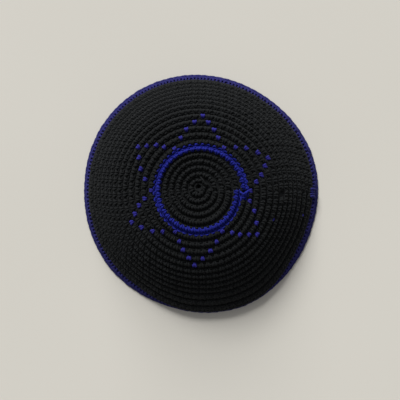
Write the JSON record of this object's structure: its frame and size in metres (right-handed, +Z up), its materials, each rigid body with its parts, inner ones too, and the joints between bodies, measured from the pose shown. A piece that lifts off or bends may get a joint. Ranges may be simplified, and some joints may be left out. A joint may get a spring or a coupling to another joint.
{
  "type": "crocheted kippah skullcap",
  "caption": "Shallow black crocheted skullcap with a blue ring round, a star of blue stitches and a blue rim edging, lying dome up.",
  "frame": {"origin": "middle of the rim's outline, on the surface that the cap lies on", "axes": "+Z up through the middle of the crown, +Y towards the top of the picture, +X to its right"},
  "size_m": [0.1483, 0.1512, 0.0343],
  "materials": {
    "black_yarn": "matte cotton yarn, crocheted",
    "blue_yarn": "matte cotton yarn, crocheted"
  },
  "bodies": {
    "root": {"crown_center": "black_yarn", "ring_band": "blue_yarn", "crown_body": "black_yarn", "rim_edging": "blue_yarn"}
  },
  "joints": []
}
